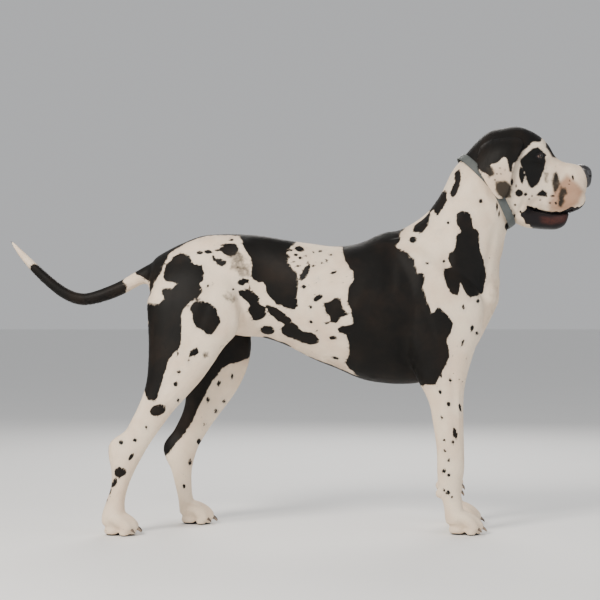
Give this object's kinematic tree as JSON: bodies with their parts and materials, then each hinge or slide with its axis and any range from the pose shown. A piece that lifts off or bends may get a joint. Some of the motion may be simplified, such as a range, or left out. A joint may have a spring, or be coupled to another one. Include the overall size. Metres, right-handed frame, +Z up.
{
  "type": "great dane",
  "caption": "Life-size still model of a harlequin great dane bitch standing in profile, hind legs staggered, tail carried low and curved up at the tip, plain collar.",
  "frame": {"origin": "floor level under the middle of the bounding box", "axes": "+X towards the nose, +Y the dog's left, +Z up"},
  "size_m": [1.5535, 0.3142, 1.0728],
  "materials": {
    "chest": "short dense coat",
    "claw_fore_left_1": "smooth horn",
    "claw_fore_left_2": "smooth horn",
    "claw_fore_left_3": "smooth horn",
    "claw_fore_left_4": "smooth horn",
    "claw_fore_right_1": "smooth horn",
    "claw_fore_right_2": "smooth horn",
    "claw_fore_right_3": "smooth horn",
    "claw_fore_right_4": "smooth horn",
    "claw_hind_left_1": "smooth horn",
    "claw_hind_left_2": "smooth horn",
    "claw_hind_left_3": "smooth horn",
    "claw_hind_left_4": "smooth horn",
    "claw_hind_right_1": "smooth horn",
    "claw_hind_right_2": "smooth horn",
    "claw_hind_right_3": "smooth horn",
    "claw_hind_right_4": "smooth horn",
    "collar": "flat woven band",
    "dewclaw_left": "smooth horn",
    "dewclaw_right": "smooth horn",
    "ear_left": "short dense coat",
    "ear_right": "short dense coat",
    "eye_left": "wet",
    "eye_right": "wet",
    "foreleg_left": "short dense coat",
    "foreleg_right": "short dense coat",
    "forepaw_left": "short dense coat",
    "forepaw_right": "short dense coat",
    "head": "short dense coat",
    "hindpaw_left": "short dense coat",
    "hindpaw_right": "short dense coat",
    "hock_left": "short dense coat",
    "hock_right": "short dense coat",
    "loin": "short dense coat",
    "lower_jaw": "short dense coat",
    "neck": "short dense coat",
    "nose": "moist pebbled skin",
    "rump": "short dense coat",
    "shank_left": "short dense coat",
    "shank_right": "short dense coat",
    "tail_base": "short dense coat",
    "tail_middle": "short dense coat",
    "tail_tip": "short dense coat",
    "thigh_left": "short dense coat",
    "thigh_right": "short dense coat"
  },
  "bodies": {
    "root": {"chest": "chest", "claw_fore_left_1": "claw_fore_left_1", "claw_fore_left_2": "claw_fore_left_2", "claw_fore_left_3": "claw_fore_left_3", "claw_fore_left_4": "claw_fore_left_4", "claw_fore_right_1": "claw_fore_right_1", "claw_fore_right_2": "claw_fore_right_2", "claw_fore_right_3": "claw_fore_right_3", "claw_fore_right_4": "claw_fore_right_4", "claw_hind_left_1": "claw_hind_left_1", "claw_hind_left_2": "claw_hind_left_2", "claw_hind_left_3": "claw_hind_left_3", "claw_hind_left_4": "claw_hind_left_4", "claw_hind_right_1": "claw_hind_right_1", "claw_hind_right_2": "claw_hind_right_2", "claw_hind_right_3": "claw_hind_right_3", "claw_hind_right_4": "claw_hind_right_4", "collar": "collar", "dewclaw_left": "dewclaw_left", "dewclaw_right": "dewclaw_right", "ear_left": "ear_left", "ear_right": "ear_right", "eye_left": "eye_left", "eye_right": "eye_right", "foreleg_left": "foreleg_left", "foreleg_right": "foreleg_right", "forepaw_left": "forepaw_left", "forepaw_right": "forepaw_right", "head": "head", "hindpaw_left": "hindpaw_left", "hindpaw_right": "hindpaw_right", "hock_left": "hock_left", "hock_right": "hock_right", "loin": "loin", "lower_jaw": "lower_jaw", "neck": "neck", "nose": "nose", "rump": "rump", "shank_left": "shank_left", "shank_right": "shank_right", "tail_base": "tail_base", "tail_middle": "tail_middle", "tail_tip": "tail_tip", "thigh_left": "thigh_left", "thigh_right": "thigh_right"}
  },
  "joints": []
}
